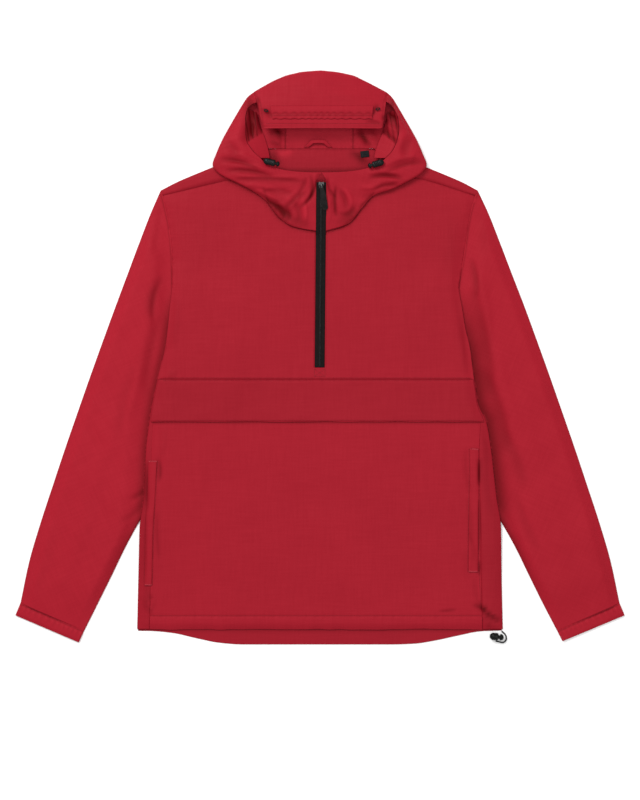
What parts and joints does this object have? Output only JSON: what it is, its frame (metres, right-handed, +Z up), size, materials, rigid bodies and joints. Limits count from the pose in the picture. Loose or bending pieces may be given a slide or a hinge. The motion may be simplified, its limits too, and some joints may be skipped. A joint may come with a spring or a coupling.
{
  "type": "anorak pullover",
  "caption": "Hooded half-zip pullover jacket laid flat on its back, with chest flap, side pockets, long sleeves, dropped back hem, cord locks and a hinged zip pull.",
  "frame": {"origin": "middle of the garment's outline on the surface it lies on", "axes": "+X towards the wearer's left, +Y towards the hood, +Z up out of the front"},
  "size_m": [0.9146, 0.86, 0.0258],
  "materials": {
    "red_nylon": "light woven nylon, soft sheen, fine weave",
    "zip_tape_black": "woven polyester zip tape with a coil",
    "black_plastic": "moulded nylon, satin",
    "grey_zinc": "painted zinc casting",
    "black_label": "woven satin label, blank",
    "black_elastic": "braided elastic cord"
  },
  "bodies": {
    "root": {"back_panel": "red_nylon", "front_chest": "red_nylon", "front_lower": "red_nylon", "chest_flap": "red_nylon", "pocket_welt_left": "red_nylon", "pocket_welt_right": "red_nylon", "sleeve_left": "red_nylon", "sleeve_right": "red_nylon", "cuff_left": "red_nylon", "cuff_right": "red_nylon", "hood_centre": "red_nylon", "hood_side_left": "red_nylon", "hood_side_right": "red_nylon", "brim_channel": "red_nylon", "edge_facing_left": "red_nylon", "edge_facing_right": "red_nylon", "hanging_loop": "red_nylon", "zip_tape": "zip_tape_black", "zip_slider": "grey_zinc", "brim_eyelet_left": "black_plastic", "brim_eyelet_right": "black_plastic", "hood_lock_left": "black_plastic", "hood_lock_right": "black_plastic", "hem_lock": "black_plastic", "neck_label": "black_label", "hem_elastic": "black_elastic"},
    "zip_pull": {"zip_pull": "black_plastic"},
    "hood_lock_left_button": {"hood_lock_left_button": "black_plastic"},
    "hood_lock_right_button": {"hood_lock_right_button": "black_plastic"},
    "hem_lock_button": {"hem_lock_button": "black_plastic"}
  },
  "joints": [
    {"name": "zip_pull_hinge", "type": "hinge", "parent": "root", "child": "zip_pull", "pos_m": [0.00196, 0.25708, 0.01841], "axis": [-0.9863, -0.165, 0], "range_deg": [0, 150]},
    {"name": "hood_lock_left_press", "type": "slide", "parent": "root", "child": "hood_lock_left_button", "axis": [0.9613, 0.2756, 0], "range_m": [0, 0.0022], "stiffness_N_per_m": 300},
    {"name": "hood_lock_right_press", "type": "slide", "parent": "root", "child": "hood_lock_right_button", "axis": [-0.9703, 0.2419, 0], "range_m": [0, 0.0022], "stiffness_N_per_m": 300},
    {"name": "hem_lock_press", "type": "slide", "parent": "root", "child": "hem_lock_button", "axis": [-0.9945, 0.1045, 0], "range_m": [0, 0.0022], "stiffness_N_per_m": 300}
  ]
}
